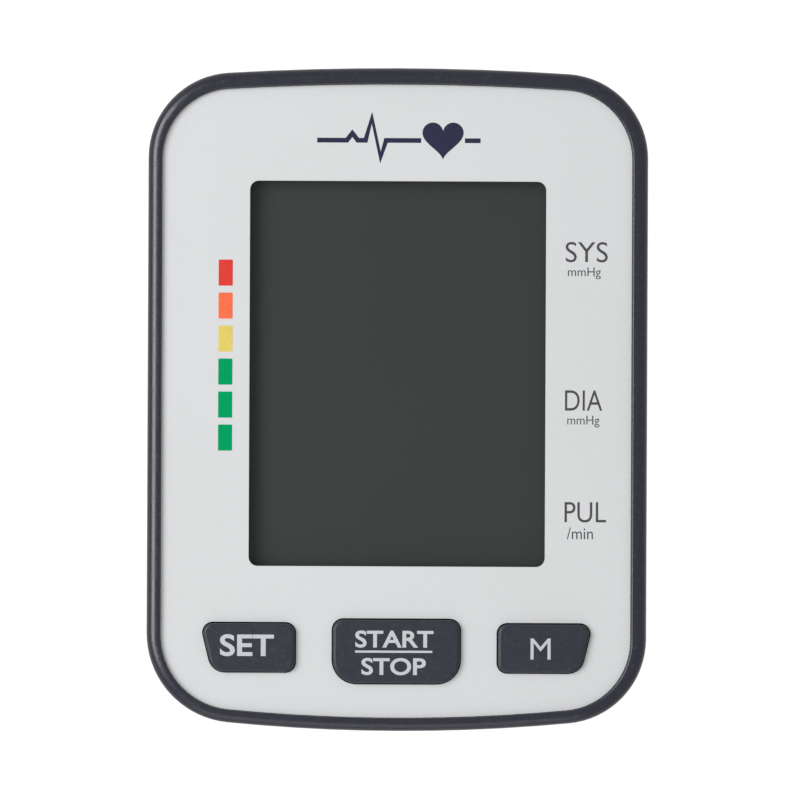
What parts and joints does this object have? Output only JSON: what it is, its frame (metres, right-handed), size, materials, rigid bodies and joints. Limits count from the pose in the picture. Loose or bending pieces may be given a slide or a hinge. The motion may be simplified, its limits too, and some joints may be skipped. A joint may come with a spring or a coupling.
{
  "type": "wrist blood pressure monitor with cuff",
  "caption": "Wrist blood-pressure monitor: pale face with blank display and keys in a navy rim, pump and cells inside, over a closed fabric cuff with a fastening tail.",
  "frame": {"origin": "middle of the flat underside of the closed cuff, on which the monitor stands", "axes": "+Z out of the face, +Y to the top of the display, +X to the right of the face"},
  "size_m": [0.064, 0.0848, 0.0755],
  "materials": {
    "navy_plastic": "satin moulded plastic with a fine texture",
    "navy_key": "satin moulded plastic",
    "pale_face": "smooth printed plastic sheet",
    "clear_window": "clear plastic",
    "display_film": "fine-grained display film",
    "display_glass": "display glass",
    "white_plastic": "plain moulded plastic",
    "pale_case": "satin moulded plastic with a fine texture",
    "black_plastic": "plain moulded plastic",
    "green_board": "solder mask over glass-fibre board",
    "grey_rubber": "moulded rubber",
    "black_rubber": "moulded rubber",
    "navy_rubber": "soft moulded rubber",
    "clear_silicone": "translucent silicone",
    "black_foam": "foam sheet",
    "nickel_plate": "nickel-plated steel",
    "brushed_steel": "plain steel",
    "dark_ferrite": "sintered magnet",
    "cell_jacket": "plain shrink jacket",
    "red_wire": "wire insulation",
    "cuff_fabric": "brushed nylon loop fabric",
    "lining_fabric": "fine nylon weave",
    "binding_tape": "woven edge tape",
    "hook_tape": "hook side of a hook-and-loop fastener",
    "bladder_film": "soft plastic film"
  },
  "bodies": {
    "case": {"front_case": "navy_plastic", "face_panel": "pale_face", "display_window": "clear_window", "window_gasket": "black_foam", "display_polariser": "display_film", "display_glass": "display_glass", "display_frame": "white_plastic", "zebra_strips": "grey_rubber", "main_board": "green_board", "board_chips": "black_plastic", "pressure_sensor": "white_plastic", "buzzer": "black_plastic", "switch_bodies": "black_plastic", "rear_case": "pale_case", "battery_tray": "black_plastic", "battery_cell_1": "cell_jacket", "battery_cell_2": "cell_jacket", "contact_plates": "nickel_plate", "contact_springs": "nickel_plate", "motor_can": "nickel_plate", "motor_magnets": "dark_ferrite", "pump_head": "white_plastic", "pump_yoke": "white_plastic", "pump_diaphragm": "black_rubber", "pump_cradle": "black_foam", "valve_body": "black_plastic", "valve_spring": "brushed_steel", "air_manifold": "white_plastic", "air_tubes": "clear_silicone", "motor_leads": "red_wire", "valve_leads": "red_wire", "battery_leads": "red_wire", "case_screws": "brushed_steel", "board_screws": "brushed_steel", "cuff_cover": "cuff_fabric", "cuff_stay": "white_plastic", "cuff_bladder": "bladder_film", "cuff_lining": "lining_fabric", "cuff_binding": "binding_tape", "cuff_screws": "brushed_steel", "air_nipple": "grey_rubber", "saddle_pad": "black_foam", "tail_anchor": "cuff_fabric"},
    "set_button": {"set_key": "navy_key", "set_switch_stem": "white_plastic"},
    "start_stop_button": {"start_stop_key": "navy_key", "start_stop_switch_stem": "white_plastic"},
    "memory_button": {"memory_key": "navy_key", "memory_switch_stem": "white_plastic"},
    "door": {"battery_door": "pale_case"},
    "tail": {"tail_strap": "cuff_fabric", "hook_patch": "hook_tape", "pull_tab": "navy_rubber"},
    "rotor": {"pump_rotor": "brushed_steel"},
    "plunger": {"valve_plunger": "brushed_steel"}
  },
  "joints": [
    {"name": "set_button_press", "type": "slide", "parent": "case", "child": "set_button", "axis": [0, 0, -1], "range_m": [0, 0.0005], "stiffness_N_per_m": 1500, "springref_m": -0.0002},
    {"name": "start_stop_button_press", "type": "slide", "parent": "case", "child": "start_stop_button", "axis": [0, 0, -1], "range_m": [0, 0.0005], "stiffness_N_per_m": 1500, "springref_m": -0.0002},
    {"name": "memory_button_press", "type": "slide", "parent": "case", "child": "memory_button", "axis": [0, 0, -1], "range_m": [0, 0.0005], "stiffness_N_per_m": 1500, "springref_m": -0.0002},
    {"name": "battery_door_hinge", "type": "hinge", "parent": "case", "child": "door", "pos_m": [-0.02948, 0, 0.0646], "axis": [0, 1, 0], "range_deg": [0, 90]},
    {"name": "cuff_tail_hinge", "type": "hinge", "parent": "case", "child": "tail", "pos_m": [-0.02811, 0, 0.0063], "axis": [0, -1, 0], "range_deg": [0, 85]},
    {"name": "pump_rotor_spin", "type": "hinge", "parent": "case", "child": "rotor", "pos_m": [0.019, 0, 0.0594], "axis": [0, 1, 0], "continuous": true},
    {"name": "valve_plunger_slide", "type": "slide", "parent": "case", "child": "plunger", "axis": [0, 0, -1], "range_m": [0, 0.0008], "stiffness_N_per_m": 120, "springref_m": -0.0005, "deforming": ["valve_spring"]}
  ]
}
